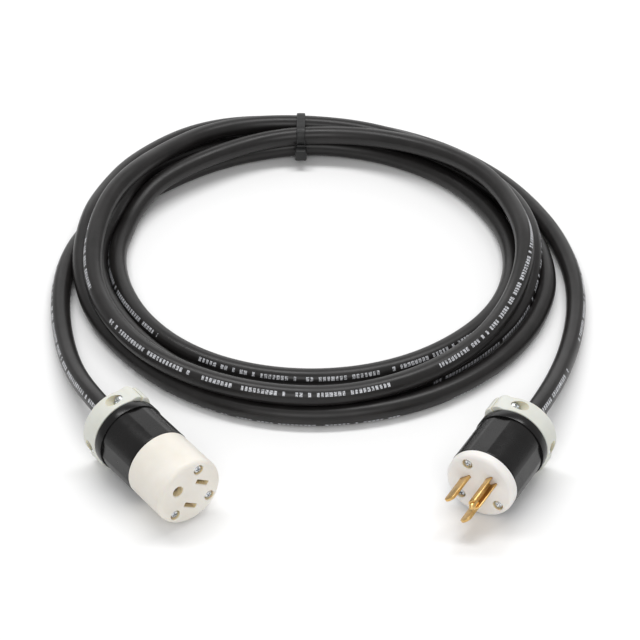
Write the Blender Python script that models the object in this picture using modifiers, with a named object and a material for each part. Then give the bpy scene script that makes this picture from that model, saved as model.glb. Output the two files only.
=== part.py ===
"""Coiled power cord with a straight-blade plug and a matching connector, field-wired.

Row frame: +X right, +Y away from the two cord ends, +Z up, the coil lying on z = 0.
Lengths below are millimetres unless a name says otherwise; MM turns them into metres.
Each wiring device has its own frame: origin at the centre of its front face, +Z out of
that face, +Y towards its ground pin or ground hole.
"""

import math

import bmesh
import bpy
from mathutils import Matrix, Vector

MM = 0.001
GAP = 0.3

# cord and coil
CORD_R = 5.15
COIL_CENTRE = (-2.0, 40.0)
COIL_SECTIONS = 60
# clock angle from the far side (degrees), inner radius, outer radius, underside, top
COIL_PROFILE = (
    (0, 99.5, 134.6, 1.7, 22.3),
    (14, 99.4, 134.6, 0.0, 24.0),
    (30, 100.0, 134.0, 0.0, 26.2),
    (45, 101.4, 133.8, 0.0, 27.8),
    (60, 101.2, 134.8, 0.0, 28.3),
    (72, 101.2, 136.8, 0.0, 28.0),
    (84, 100.8, 139.6, 0.0, 27.8),
    (91, 100.4, 129.3, 0.0, 27.5),
    (100, 99.8, 130.9, 0.0, 26.0),
    (112, 98.4, 131.5, 0.0, 22.4),
    (135, 95.4, 132.6, 0.0, 20.8),
    (158, 94.1, 133.7, 0.0, 20.0),
    (180, 93.8, 134.0, 0.0, 20.0),
    (203, 94.9, 132.8, 0.0, 20.6),
    (225, 96.3, 129.8, 0.0, 21.0),
    (247, 97.5, 129.0, 0.0, 22.2),
    (263, 99.1, 128.4, 0.0, 25.0),
    (270, 100.2, 136.4, 0.0, 26.4),
    (280, 101.3, 134.8, 0.0, 28.6),
    (292, 103.0, 132.0, 0.0, 31.0),
    (300, 102.0, 133.2, 0.0, 31.0),
    (310, 100.0, 135.2, 0.0, 29.2),
    (320, 98.7, 137.0, 0.0, 26.6),
    (332, 98.8, 138.4, 0.0, 24.4),
    (346, 99.8, 137.4, 0.5, 22.9),
    (352, 99.7, 135.4, 1.7, 22.4),
)

# free stretches of the cord, from each clamp to the coil: x, y, height of the centre
CONNECTOR_LEAD = (
    (-104.0, -97.0, 17.4),
    (-110.0, -86.0, 15.4),
    (-117.0, -72.0, 12.4),
    (-123.5, -55.0, 9.3),
    (-128.7, -36.0, 6.9),
    (-132.6, -17.0, 5.6),
    (-135.0, 2.0, CORD_R),
    (-135.8, 16.0, CORD_R),
    (-135.5, 26.0, CORD_R),
)
PLUG_LEAD = (
    (104.6, -101.0, 17.4),
    (110.3, -88.0, 15.2),
    (116.8, -72.0, 12.0),
    (123.5, -52.5, 8.8),
    (129.3, -32.0, 6.6),
    (133.4, -12.0, 5.4),
    (135.7, 8.0, CORD_R),
    (135.8, 24.0, CORD_R),
    (134.2, 38.0, CORD_R),
)
LEAD_STEP = 12.0

# cable tie round the bundle at the far side of the coil
TIE_X = -9.9
TIE_WIDTH = 4.8
TIE_THICKNESS = 1.3
TIE_HEAD = (8.4, 5.6, 7.4)

# wiring devices: body
SHELL_R = 18.0
SHELL_WALL = 2.4
COLLAR_LENGTH = 5.2
GRIP_FLATS = 4
GRIP_R = 17.5
GRIP_FLAT = 16.5
FRONT_R = 17.3
CORE_R = 14.9
REAR_WALL = 2.6
CABLE_HOLE_R = CORD_R + GAP
EDGE_R = 2.0

# clamp at the rear of each device
CLAMP_LENGTH = 10.8
CLAMP_R = 17.8
CLAMP_LOBE_X = 19.6
CLAMP_SPLIT = 0.6
CLAMP_SCREW_X = 13.0
CLAMP_SEAT_Y = 6.4
CLAMP_HEAD = (3.3, 2.2)
CLAMP_SHANK_R = 1.9
CLAMP_SHANK_END = -11.0

# blade layout of the 15 A, 125 V straight-blade pattern
BLADE_X = 6.35
BLADE_Y = -4.0
GROUND_Y = 7.9
BLADE_WIDTH = 6.35
BLADE_THICK = 1.5
BLADE_LENGTH = 17.5
GROUND_LENGTH = 20.6
GROUND_WIDTH = 4.8
GROUND_WALL = 1.0

# spring contacts behind the connector's slots
LEAF_TOP = -5.0
LEAF_FOOT = -25.0
LEAF_THICK = 0.8
LEAF_WIDTH = 6.0
BLADE_GRIP = 0.85
GROUND_GRIP = 2.5

# screws that hold front and shell together
ASSEMBLY_R = 12.6
ASSEMBLY_ANGLES = (80, 180, -80)
ASSEMBLY_HEAD = (2.9, 1.9)
ASSEMBLY_SHANK_R = 1.6
ASSEMBLY_RECESS = 2.6
BOSS_R = 3.4

# terminals
TERMINAL_BACK = 5.0
CHAMBER_HALF = 3.9
COPPER_R = 1.0
WIRE_R = 1.9
TERMINAL_SHANK_R = 1.3
TERMINAL_HEAD = (2.8, 1.9)
PLATE_THICK = 1.1
PLATE_SIZE = (6.2, 6.0)

# the cord's end inside the shell: how far the jacket reaches, and the lay of its cores
JACKET_INSIDE = 6.1
CORE_LAY_R = 2.4
CORE_LAY = {"hot": 210, "neutral": 330, "ground": 90}

# the two devices: front, place, heading of the cord, roll of the ground side, lengths
DEVICES = {
    "plug": {
        "place": (75.0, -154.18, 18.3),
        "heading": 29.3,
        "roll": 48.0,
        "front_end": -4.6,
        "terminal": -13.0,
        "shell_end": -37.2,
        "grip": 106.0,
    },
    "connector": {
        "place": (-59.0, -159.0, 18.3),
        "heading": -37.2,
        "roll": -56.0,
        "front_end": -25.8,
        "terminal": -33.0,
        "shell_end": -54.2,
        "grip": 71.7,
    },
}

COLOURS = {
    "cord": ((0.035, 0.032, 0.032), 0.55, 0.0),
    "shell": ((0.02, 0.02, 0.021), 0.45, 0.0),
    "nylon": ((0.82, 0.79, 0.72), 0.4, 0.0),
    "clamp": ((0.70, 0.71, 0.66), 0.45, 0.0),
    "tie": ((0.02, 0.02, 0.02), 0.4, 0.0),
    "brass": ((0.62, 0.38, 0.10), 0.3, 1.0),
    "zinc": ((0.60, 0.62, 0.63), 0.3, 1.0),
    "copper": ((0.72, 0.35, 0.2), 0.35, 1.0),
    "wire_hot": ((0.03, 0.03, 0.03), 0.5, 0.0),
    "wire_neutral": ((0.8, 0.8, 0.78), 0.5, 0.0),
    "wire_ground": ((0.05, 0.3, 0.1), 0.5, 0.0),
}


# ---------------------------------------------------------------- scene helpers


def clear_scene():
    for obj in list(bpy.data.objects):
        bpy.data.objects.remove(obj)


def collection(name):
    made = bpy.data.collections.new(name)
    bpy.context.scene.collection.children.link(made)
    return made


def material(name):
    colour, roughness, metallic = COLOURS[name]
    made = bpy.data.materials.new(name)
    made.use_nodes = True
    shader = made.node_tree.nodes["Principled BSDF"]
    shader.inputs["Base Color"].default_value = (*colour, 1.0)
    shader.inputs["Roughness"].default_value = roughness
    shader.inputs["Metallic"].default_value = metallic
    return made


def add_object(name, mesh, finish, parent=None):
    obj = bpy.data.objects.new(name, mesh)
    PARTS.objects.link(obj)
    obj.parent = parent
    mesh.materials.clear()
    mesh.materials.append(MATERIALS[finish])
    mesh.shade_smooth()
    mesh.set_sharp_from_angle(angle=math.radians(30))
    return obj


def add_cutter(name, mesh, parent=None):
    obj = bpy.data.objects.new(name, mesh)
    CUTTERS.objects.link(obj)
    obj.parent = parent
    obj.hide_render = True
    obj.display_type = "WIRE"
    return obj


def boolean(obj, other, operation="DIFFERENCE"):
    step = obj.modifiers.new(other.name, "BOOLEAN")
    step.operation = operation
    step.solver = "EXACT"
    step.object = other
    return step


def evaluated_mesh(obj):
    """The object's mesh with its modifiers or curve surface made real, caps welded."""
    graph = bpy.context.evaluated_depsgraph_get()
    mesh = bpy.data.meshes.new_from_object(obj.evaluated_get(graph))
    work = bmesh.new()
    work.from_mesh(mesh)
    bmesh.ops.remove_doubles(work, verts=work.verts, dist=0.00001)
    work.to_mesh(mesh)
    work.free()
    return mesh


# ---------------------------------------------------------------- shapes


def box_mesh(low, high):
    size = [(b - a) * MM for a, b in zip(low, high)]
    middle = [(a + b) / 2 * MM for a, b in zip(low, high)]
    work = bmesh.new()
    place = Matrix.Translation(middle) @ Matrix.Diagonal((*size, 1.0))
    bmesh.ops.create_cube(work, size=1.0, matrix=place)
    mesh = bpy.data.meshes.new("box")
    work.to_mesh(mesh)
    work.free()
    return mesh


def rod_mesh(radius, start, end, segments=16):
    """A closed cylinder between two points."""
    a, b = Vector(start) * MM, Vector(end) * MM
    turn = (b - a).to_track_quat("Z", "Y").to_matrix().to_4x4()
    work = bmesh.new()
    bmesh.ops.create_cone(
        work,
        cap_ends=True,
        segments=segments,
        radius1=radius * MM,
        radius2=radius * MM,
        depth=(b - a).length,
        matrix=Matrix.Translation((a + b) / 2) @ turn,
    )
    mesh = bpy.data.meshes.new("rod")
    work.to_mesh(mesh)
    work.free()
    return mesh


def joined(meshes):
    """Several closed shapes that don't touch, in one mesh."""
    work = bmesh.new()
    for mesh in meshes:
        work.from_mesh(mesh)
    made = bpy.data.meshes.new("joined")
    work.to_mesh(made)
    work.free()
    return made


def turned_mesh(profile, steps=36, closed=False):
    """A profile of (radius, z) points, listed top to bottom on the outside, turned round Z."""
    work = bmesh.new()
    verts = [work.verts.new((r * MM, 0, z * MM)) for r, z in profile]
    pairs = list(zip(verts, verts[1:]))
    if closed:
        pairs.append((verts[-1], verts[0]))
    for a, b in pairs:
        work.edges.new((a, b))
    mesh = bpy.data.meshes.new("profile")
    work.to_mesh(mesh)
    work.free()
    holder = bpy.data.objects.new("profile", mesh)
    CUTTERS.objects.link(holder)
    turn = holder.modifiers.new("turn", "SCREW")
    turn.steps = turn.render_steps = steps
    turn.use_merge_vertices = True
    turn.merge_threshold = 0.00001
    made = evaluated_mesh(holder)
    bpy.data.objects.remove(holder)
    return made


def slab_mesh(outlines, thickness):
    """Flat outline in XY (holes are further outlines), centred on z = 0."""
    curve = bpy.data.curves.new("outline", "CURVE")
    curve.dimensions = "2D"
    curve.fill_mode = "BOTH"
    curve.extrude = thickness / 2 * MM
    for outline in outlines:
        spline = curve.splines.new("POLY")
        spline.points.add(len(outline) - 1)
        for point, (x, y) in zip(spline.points, outline):
            point.co = (x * MM, y * MM, 0, 1)
        spline.use_cyclic_u = True
    holder = bpy.data.objects.new("outline", curve)
    CUTTERS.objects.link(holder)
    made = evaluated_mesh(holder)
    bpy.data.objects.remove(holder)
    return made


def moved(mesh, matrix):
    mesh.transform(matrix)
    if matrix.determinant() < 0:
        mesh.flip_normals()
    return mesh


def arc(centre, radius, start, end, count):
    """Points on an arc, angles in degrees, both ends included."""
    points = []
    for i in range(count + 1):
        angle = math.radians(start + (end - start) * i / count)
        x = centre[0] + radius * math.cos(angle)
        y = centre[1] + radius * math.sin(angle)
        points.append((x, y))
    return points


def smooth_route(points, step):
    """Points about a step apart on a smooth curve through the route's own points."""
    route = [Vector(p) for p in points]
    route = [2 * route[0] - route[1], *route, 2 * route[-1] - route[-2]]
    fine = []
    for p0, p1, p2, p3 in zip(route, route[1:], route[2:], route[3:]):
        parts = max(1, round((p2 - p1).length / step))
        for i in range(parts):
            t = i / parts
            slope1, slope2 = (p2 - p0) / 2, (p3 - p1) / 2
            fine.append(
                (2 * t**3 - 3 * t**2 + 1) * p1
                + (t**3 - 2 * t**2 + t) * slope1
                + (3 * t**2 - 2 * t**3) * p2
                + (t**3 - t**2) * slope2
            )
    return [*fine, route[-2]]


def tube(name, points, radius, finish, parent=None, resolution=3):
    curve = bpy.data.curves.new(name, "CURVE")
    curve.dimensions = "3D"
    curve.bevel_depth = radius * MM
    curve.bevel_resolution = resolution
    curve.use_fill_caps = True
    spline = curve.splines.new("POLY")
    spline.points.add(len(points) - 1)
    for point, place in zip(spline.points, points):
        point.co = (*(Vector(place) * MM), 1)
    obj = bpy.data.objects.new(name, curve)
    PARTS.objects.link(obj)
    obj.parent = parent
    curve.materials.append(MATERIALS[finish])
    return obj


# ---------------------------------------------------------------- cord


def profile_at(clock):
    """The coil's section at a clock angle, eased between the listed stations."""
    rows = [*COIL_PROFILE, (360, *COIL_PROFILE[0][1:])]
    for a, b in zip(rows, rows[1:]):
        if a[0] <= clock <= b[0]:
            t = (clock - a[0]) / (b[0] - a[0])
            ease = t * t * (3 - 2 * t)
            return [p + (q - p) * ease for p, q in zip(a[1:], b[1:])]
    return list(rows[0][1:])


def section_points(inner, outer, bottom, top, corner=4.6):
    """A rectangle with cut corners, as (radius, height)."""
    return (
        (inner + corner, bottom),
        (outer - corner, bottom),
        (outer - corner * 0.3, bottom + corner * 0.3),
        (outer, bottom + corner),
        (outer, top - corner),
        (outer - corner * 0.3, top - corner * 0.3),
        (outer - corner, top),
        (inner + corner, top),
        (inner + corner * 0.3, top - corner * 0.3),
        (inner, top - corner),
        (inner, bottom + corner),
        (inner + corner * 0.3, bottom + corner * 0.3),
    )


def coil_mesh():
    """The outer shape of the four turns, lofted round its sections."""
    work = bmesh.new()
    rings = []
    for i in range(COIL_SECTIONS):
        clock = 360 * i / COIL_SECTIONS
        angle = math.radians(90 - clock)
        ring = []
        for radius, height in section_points(*profile_at(clock)):
            x = COIL_CENTRE[0] + radius * math.cos(angle)
            y = COIL_CENTRE[1] + radius * math.sin(angle)
            ring.append(work.verts.new((x * MM, y * MM, height * MM)))
        rings.append(ring)
    for a, b in zip(rings, rings[1:] + rings[:1]):
        for j in range(len(a)):
            k = (j + 1) % len(a)
            work.faces.new((a[j], a[k], b[k], b[j]))
    bmesh.ops.recalc_face_normals(work, faces=work.faces)
    mesh = bpy.data.meshes.new("cord_coil")
    work.to_mesh(mesh)
    work.free()
    return mesh


def make_cord(frames):
    add_object("cord_coil", coil_mesh(), "cord")
    for name, route in (("connector", CONNECTOR_LEAD), ("plug", PLUG_LEAD)):
        inside = DEVICES[name]["shell_end"] + JACKET_INSIDE
        outside = DEVICES[name]["shell_end"] - CLAMP_LENGTH
        frame = frames[name]
        start = [frame @ (Vector((0, 0, z)) * MM) / MM for z in (inside, outside)]
        points = smooth_route([*start, *[Vector(p) for p in route]], LEAD_STEP)
        tube(name + "_lead", points, CORD_R, "cord")


def make_tie():
    """Nylon strap round the bundle, its head on the inner side."""
    off = COIL_CENTRE[0] - TIE_X
    wide, deep, tall = TIE_HEAD
    inner, outer, bottom, top = profile_at(360 - math.degrees(math.atan2(off, COIL_PROFILE[0][1])))
    y0 = COIL_CENTRE[1] + math.sqrt(inner**2 - (off + wide / 2) ** 2) - GAP - 0.2
    y1 = COIL_CENTRE[1] + outer + GAP
    z0 = bottom - GAP
    z1 = top + GAP
    t = TIE_THICKNESS
    hole = rounded_rectangle(y0, y1, z0, z1, 3.0)
    rim = rounded_rectangle(y0 - t, y1 + t, z0 - t, z1 + t, 3.0 + t)
    strap = slab_mesh([rim, hole], TIE_WIDTH)
    stand = Matrix(((0, 0, 1, 0), (1, 0, 0, 0), (0, 1, 0, 0), (0, 0, 0, 1)))
    moved(strap, Matrix.Translation((TIE_X * MM, 0, 0)) @ stand)
    obj = add_object("cable_tie", strap, "tie")
    middle = (z0 + z1) / 2 - 2.0
    head = box_mesh(
        (TIE_X - wide / 2, y0 - deep, middle - tall / 2),
        (TIE_X + wide / 2, y0 - t * 0.4, middle + tall / 2),
    )
    boolean(obj, add_cutter("tie_head", head), "UNION")


def rounded_rectangle(x0, x1, y0, y1, radius):
    corners = (
        ((x1 - radius, y1 - radius), 0),
        ((x0 + radius, y1 - radius), 90),
        ((x0 + radius, y0 + radius), 180),
        ((x1 - radius, y0 + radius), 270),
    )
    points = []
    for centre, start in corners:
        points += arc(centre, radius, start, start + 90, 4)
    return points


# ---------------------------------------------------------------- devices


def device_frame(spec):
    """Columns: across, ground side, out of the front face."""
    heading = math.radians(spec["heading"])
    roll = math.radians(spec["roll"])
    out = Vector((-math.sin(heading), -math.cos(heading), 0))
    right = Vector((math.cos(heading), -math.sin(heading), 0))
    ground = math.cos(roll) * Vector((0, 0, 1)) + math.sin(roll) * right
    across = ground.cross(out)
    turn = Matrix((across, ground, out)).transposed().to_4x4()
    return Matrix.Translation(Vector(spec["place"]) * MM) @ turn


def contacts(name):
    """The three terminals: suffix, contact centre, way outwards."""
    return (
        ("hot", (-BLADE_X, BLADE_Y), (-1, 0)),
        ("neutral", (BLADE_X, BLADE_Y), (1, 0)),
        ("ground", (0.0, GROUND_Y - tab_inset(name)), (0, 1)),
    )


def tab_inset(name):
    """The plug's ground tab carries on from the pin's inner wall."""
    return (GROUND_WIDTH - GROUND_WALL) / 2 if name == "plug" else 0.0


def assembly_places():
    places = []
    for angle in ASSEMBLY_ANGLES:
        turn = math.radians(angle)
        places.append((ASSEMBLY_R * math.sin(turn), ASSEMBLY_R * math.cos(turn)))
    return places


def rounded_shoulder(radius, edge, z, steps=3):
    """Quarter round from the flat front to the side, top to bottom."""
    points = []
    for i in range(steps + 1):
        angle = math.radians(90 - 90 * i / steps)
        r = radius - edge + edge * math.cos(angle)
        points.append((r, z - edge + edge * math.sin(angle)))
    return points


def chamber_box(centre, way, back, front):
    """A terminal chamber, open to the side and to the rear."""
    x, y = centre
    reach = CORE_R + 3
    inside = 1.2 + GAP
    if way[0]:
        far = way[0] * reach
        near = x - way[0] * inside
        low = (min(near, far), y - CHAMBER_HALF, back - 2)
        high = (max(near, far), y + CHAMBER_HALF, front)
    else:
        low = (-CHAMBER_HALF, y - inside, back - 2)
        high = (CHAMBER_HALF, reach, front)
    return box_mesh(low, high)


def make_front(name, spec, parent):
    """Nylon front: rounded nose, and a core inside the shell with the terminal chambers."""
    end = spec["front_end"]
    back = spec["terminal"] - TERMINAL_BACK
    profile = [(0, 0), *rounded_shoulder(FRONT_R, EDGE_R, 0)]
    profile += [(FRONT_R, end), (CORE_R, end), (CORE_R, back), (0, back)]
    obj = add_object(name + "_front", turned_mesh(profile, 40), "nylon", parent)
    chambers = [
        chamber_box(centre, way, back, spec["terminal"] + 4.2)
        for _, centre, way in contacts(name)
    ]
    boolean(obj, add_cutter(name + "_chambers", joined(chambers), parent))
    holes = []
    for x, y in assembly_places():
        holes.append(rod_mesh(ASSEMBLY_SHANK_R + GAP, (x, y, 1), (x, y, back - 1), 12))
    boolean(obj, add_cutter(name + "_screw_holes", joined(holes), parent))
    recesses = []
    for x, y in assembly_places():
        top = (x, y, 1)
        floor = (x, y, -ASSEMBLY_RECESS)
        recesses.append(rod_mesh(ASSEMBLY_HEAD[0] + 2 * GAP, top, floor, 16))
    boolean(obj, add_cutter(name + "_recesses", joined(recesses), parent))
    slots = plug_slots(spec) if name == "plug" else connector_slots(spec)
    for label, mesh in slots:
        boolean(obj, add_cutter(name + label, mesh, parent))
    return obj


def plug_slots(spec):
    """Ways for the blades and the ground pin to pass through the front."""
    deep = spec["terminal"]
    half_t = BLADE_THICK / 2 + GAP
    half_w = BLADE_WIDTH / 2 + GAP
    half_g = GROUND_WIDTH / 2 + GAP
    blades = [
        box_mesh(
            (x - half_t, BLADE_Y - half_w, deep),
            (x + half_t, BLADE_Y + half_w, 1),
        )
        for x in (-BLADE_X, BLADE_X)
    ]
    ground = box_mesh((-half_g, GROUND_Y - half_g, deep), (half_g, GROUND_Y + half_g, 1))
    return (("_blade_ways", joined([*blades, ground])),)


def connector_slots(spec):
    """Slots in the face, and the wider wells behind it that hold the contacts."""
    deep = spec["terminal"]
    face = -4.0
    slots = [
        box_mesh((x - 1.1, BLADE_Y - 3.7, face - 1), (x + 1.1, BLADE_Y + 3.7, 1))
        for x in (-BLADE_X, BLADE_X)
    ]
    slots.append(rod_mesh(2.75, (0, GROUND_Y, face - 1), (0, GROUND_Y, 1), 20))
    wells = [
        box_mesh((x - 2.2, BLADE_Y - 3.6, deep), (x + 2.2, BLADE_Y + 3.6, face))
        for x in (-BLADE_X, BLADE_X)
    ]
    wells.append(box_mesh((-3.4, GROUND_Y - 3.8, deep), (3.4, GROUND_Y + 3.8, face)))
    return (("_wells", joined(wells)), ("_slots", joined(slots)))


def make_shell(name, spec, parent):
    """Black shell: round collar at the rear, a waist with four flats ahead of it, bosses inside."""
    top = spec["front_end"] - GAP
    end = spec["shell_end"]
    inner = SHELL_R - SHELL_WALL
    profile = [
        (inner, top),
        (SHELL_R - 0.5, top),
        (SHELL_R, top - 0.5),
        (SHELL_R, end + 0.6),
        (SHELL_R - 0.6, end),
        (CABLE_HOLE_R, end),
        (CABLE_HOLE_R, end + REAR_WALL),
        (inner, end + REAR_WALL),
    ]
    obj = add_object(name + "_shell", turned_mesh(profile, 48, closed=True), "shell", parent)
    core_back = spec["terminal"] - TERMINAL_BACK
    bosses = [
        rod_mesh(BOSS_R, (x, y, core_back - 0.6), (x, y, end + REAR_WALL - 0.8), 14)
        for x, y in assembly_places()
    ]
    boolean(obj, add_cutter(name + "_bosses", joined(bosses), parent), "UNION")
    holes = [
        rod_mesh(ASSEMBLY_SHANK_R + GAP, (x, y, core_back), (x, y, end + REAR_WALL), 12)
        for x, y in assembly_places()
    ]
    boolean(obj, add_cutter(name + "_boss_holes", joined(holes), parent))
    back = end + COLLAR_LENGTH
    front = top + 1
    ring = arc((0, 0), SHELL_R + 4, 0, 354, 59)
    waist = slab_mesh([ring, grip_outline(spec["grip"])], front - back)
    moved(waist, Matrix.Translation((0, 0, (front + back) / 2 * MM)))
    boolean(obj, add_cutter(name + "_waist", waist, parent))
    return obj


def grip_outline(first):
    """Section of the shell ahead of its collar: four arcs joined by four flats."""
    half = math.degrees(math.acos(GRIP_FLAT / GRIP_R))
    turn = 360 / GRIP_FLATS
    points = []
    for i in range(GRIP_FLATS):
        middle = first + turn * i
        points += arc((0, 0), GRIP_R, middle - turn / 2 + half, middle + turn / 2 - half, 10)
    return points


def jaw_outline():
    """Half of the clamp's section, on the +Y side of the split: lobes at both ends."""
    split = CLAMP_SPLIT
    meet = 24.5
    lobe = [(CLAMP_LOBE_X, split), (CLAMP_LOBE_X, 3.0), (CLAMP_LOBE_X - 1.6, 5.4)]
    sweep = arc((0, 0), CLAMP_R, meet, 180 - meet, 18)
    other = [(-x, y) for x, y in reversed(lobe)]
    bore = math.degrees(math.asin(split / CABLE_HOLE_R))
    return [*lobe, *sweep, *other, *arc((0, 0), CABLE_HOLE_R, 180 - bore, bore, 10)]


def make_clamp(name, spec, parent):
    """Two nylon jaws on the cord, closed by two screws that lie along +Y."""
    middle = spec["shell_end"] - GAP - CLAMP_LENGTH / 2
    for label, side in (("front", 1), ("back", -1)):
        mesh = slab_mesh([jaw_outline()], CLAMP_LENGTH)
        turn = Matrix.Identity(4) if side > 0 else Matrix.Rotation(math.pi, 4, "Z")
        moved(mesh, Matrix.Translation((0, 0, middle * MM)) @ turn)
        obj = add_object(name + "_clamp_jaw_" + label, mesh, "clamp", parent)
        low, high = (CLAMP_SPLIT - 1, 20) if side > 0 else (CLAMP_SHANK_END - 1, 0)
        holes = [
            rod_mesh(CLAMP_SHANK_R + GAP, (x, low, middle), (x, high, middle), 12)
            for x in (-CLAMP_SCREW_X, CLAMP_SCREW_X)
        ]
        boolean(obj, add_cutter(obj.name + "_holes", joined(holes), parent))
        if side > 0:
            pockets = [
                rod_mesh(CLAMP_HEAD[0] + 0.6, (x, CLAMP_SEAT_Y - GAP, middle), (x, 21, middle))
                for x in (-CLAMP_SCREW_X, CLAMP_SCREW_X)
            ]
            boolean(obj, add_cutter(obj.name + "_pockets", joined(pockets), parent))
    for label, x in (("left", -CLAMP_SCREW_X), ("right", CLAMP_SCREW_X)):
        screw = screw_mesh(CLAMP_HEAD, CLAMP_SHANK_R, CLAMP_SEAT_Y - CLAMP_SHANK_END)
        obj = add_object(name + "_clamp_screw_" + label, screw, "zinc", parent)
        obj.location = Vector((x, CLAMP_SEAT_Y, middle)) * MM
        obj.rotation_euler = (-math.pi / 2, 0, 0)


def screw_mesh(head, shank_r, length):
    """Pan-head screw along Z, the underside of its head at z = 0."""
    head_r, head_h = head
    profile = [
        (0, head_h),
        (head_r * 0.7, head_h),
        (head_r, head_h * 0.5),
        (head_r, 0),
        (shank_r, 0),
        (shank_r, -length + 0.6),
        (shank_r - 0.5, -length),
        (0, -length),
    ]
    return turned_mesh(profile, 14)


def make_assembly_screws(name, spec, parent):
    length = -ASSEMBLY_RECESS - (spec["shell_end"] + REAR_WALL + 1.2)
    for i, (x, y) in enumerate(assembly_places()):
        screw = screw_mesh(ASSEMBLY_HEAD, ASSEMBLY_SHANK_R, length)
        label = "%s_assembly_screw_%d" % (name, i + 1)
        obj = add_object(label, screw, "zinc", parent)
        obj.location = Vector((x, y, -ASSEMBLY_RECESS + GAP)) * MM


def tab_outline(back, front, tip):
    """Blade outline along Y (width) and Z (length), with the round nose of the pin."""
    half = BLADE_WIDTH / 2
    nose = arc((0, front - tip), tip, 0, 180, 6)
    stretch = half / tip
    rounded = [(x * stretch, z) for x, z in nose]
    return [(-half, back), (half, back), *rounded]


def make_plug_contacts(spec, parent):
    back = spec["terminal"] - TERMINAL_BACK + 1
    hole = arc((0, spec["terminal"]), TERMINAL_SHANK_R + GAP, 0, 330, 11)
    on_edge = Matrix(((0, 0, 1, 0), (1, 0, 0, 0), (0, 1, 0, 0), (0, 0, 0, 1)))
    for label, x in (("hot", -BLADE_X), ("neutral", BLADE_X)):
        outline = tab_outline(back, BLADE_LENGTH, 1.6)
        mesh = slab_mesh([outline, hole], BLADE_THICK)
        moved(mesh, Matrix.Translation(Vector((x, BLADE_Y, 0)) * MM) @ on_edge)
        add_object("plug_blade_" + label, mesh, "brass", parent)
    half = GROUND_WIDTH / 2
    wall = GROUND_WALL
    channel = [
        (-half, -half),
        (half, -half),
        (half, half),
        (half - wall, half),
        (half - wall, wall - half),
        (wall - half, wall - half),
        (wall - half, half),
        (-half, half),
    ]
    start = spec["terminal"] + 5.0
    mesh = slab_mesh([channel], GROUND_LENGTH - start)
    centre = Vector((0, GROUND_Y, (GROUND_LENGTH + start) / 2)) * MM
    obj = add_object("plug_ground_pin", moved(mesh, Matrix.Translation(centre)), "brass", parent)
    tab_y = GROUND_Y - tab_inset("plug")
    tab_half = 0.6
    half_tab = [(3, back), (3, start - 2.5), (1.9, start - 1.2), (1.9, start + 1)]
    outline = [*half_tab, *[(-x, z) for x, z in reversed(half_tab)]]
    tab = slab_mesh([outline, hole], 2 * tab_half)
    flat = Matrix(((1, 0, 0, 0), (0, 0, -1, 0), (0, 1, 0, 0), (0, 0, 0, 1)))
    moved(tab, Matrix.Translation(Vector((0, tab_y, 0)) * MM) @ flat)
    boolean(obj, add_cutter("plug_ground_tab", tab, parent), "UNION")


def fork_outline(gap_half, leaf):
    """Side view of a spring contact: two leaves joined by a bridge at the foot."""
    top, foot = LEAF_TOP, LEAF_FOOT
    outer = gap_half + leaf
    return [
        (-outer, top),
        (-outer, foot - leaf),
        (outer, foot - leaf),
        (outer, top),
        (gap_half, top),
        (gap_half, foot),
        (-gap_half, foot),
        (-gap_half, top),
    ]


def make_connector_contacts(spec, parent):
    """A folded spring for each blade, with a tab behind it for the terminal screw."""
    z = spec["terminal"]
    back = z - TERMINAL_BACK + 1
    front = LEAF_FOOT - LEAF_THICK / 2
    half = BLADE_WIDTH / 2
    rim = [(-half, back), (half, back), (half, front), (-half, front)]
    hole = arc((0, z), TERMINAL_SHANK_R + GAP, 0, 330, 11)
    across_x = Matrix(((0, 0, 1, 0), (1, 0, 0, 0), (0, 1, 0, 0), (0, 0, 0, 1)))
    across_y = Matrix(((1, 0, 0, 0), (0, 0, -1, 0), (0, 1, 0, 0), (0, 0, 0, 1)))
    places = (
        ("hot", (-BLADE_X, BLADE_Y), BLADE_GRIP, across_y, across_x),
        ("neutral", (BLADE_X, BLADE_Y), BLADE_GRIP, across_y, across_x),
        ("ground", (0.0, GROUND_Y), GROUND_GRIP, across_x, across_y),
    )
    for label, (x, y), gap_half, fork_turn, tab_turn in places:
        place = Matrix.Translation(Vector((x, y, 0)) * MM)
        fork = slab_mesh([fork_outline(gap_half, LEAF_THICK)], LEAF_WIDTH)
        moved(fork, place @ fork_turn)
        obj = add_object("connector_contact_" + label, fork, "brass", parent)
        tab = slab_mesh([rim, hole], BLADE_THICK)
        moved(tab, place @ tab_turn)
        boolean(obj, add_cutter(obj.name + "_tab", tab, parent), "UNION")


def outward_turn(way):
    """Turns +Z outwards and keeps +Y along the device's axis."""
    out = Vector((*way, 0))
    along = Vector((0, 0, 1))
    return Matrix((along.cross(out), along, out)).transposed().to_4x4()


def make_terminals(name, spec, parent):
    """Each terminal: a screw and a pressure plate that pinch the bare wire on the tab."""
    copper_at = BLADE_THICK / 2 + GAP + COPPER_R
    plate_at = copper_at + COPPER_R + GAP + PLATE_THICK / 2
    head_at = plate_at + PLATE_THICK / 2 + GAP
    wide, tall = PLATE_SIZE
    rim = [(-wide / 2, -tall / 2), (wide / 2, -tall / 2), (wide / 2, tall / 2), (-wide / 2, tall / 2)]
    hole = arc((0, 0), TERMINAL_SHANK_R + GAP, 0, 330, 11)
    for label, centre, way in contacts(name):
        out = Vector((*way, 0))
        tab = Vector((*centre, spec["terminal"]))
        turn = outward_turn(way)
        plate = slab_mesh([rim, hole], PLATE_THICK)
        moved(plate, Matrix.Translation((tab + out * plate_at) * MM) @ turn)
        add_object("%s_pressure_plate_%s" % (name, label), plate, "zinc", parent)
        screw = screw_mesh(TERMINAL_HEAD, TERMINAL_SHANK_R, head_at + 1.0)
        moved(screw, Matrix.Translation((tab + out * head_at) * MM) @ turn)
        add_object("%s_terminal_screw_%s" % (name, label), screw, "brass", parent)
        make_conductor(name, spec, label, tab + out * copper_at, parent)


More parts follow.
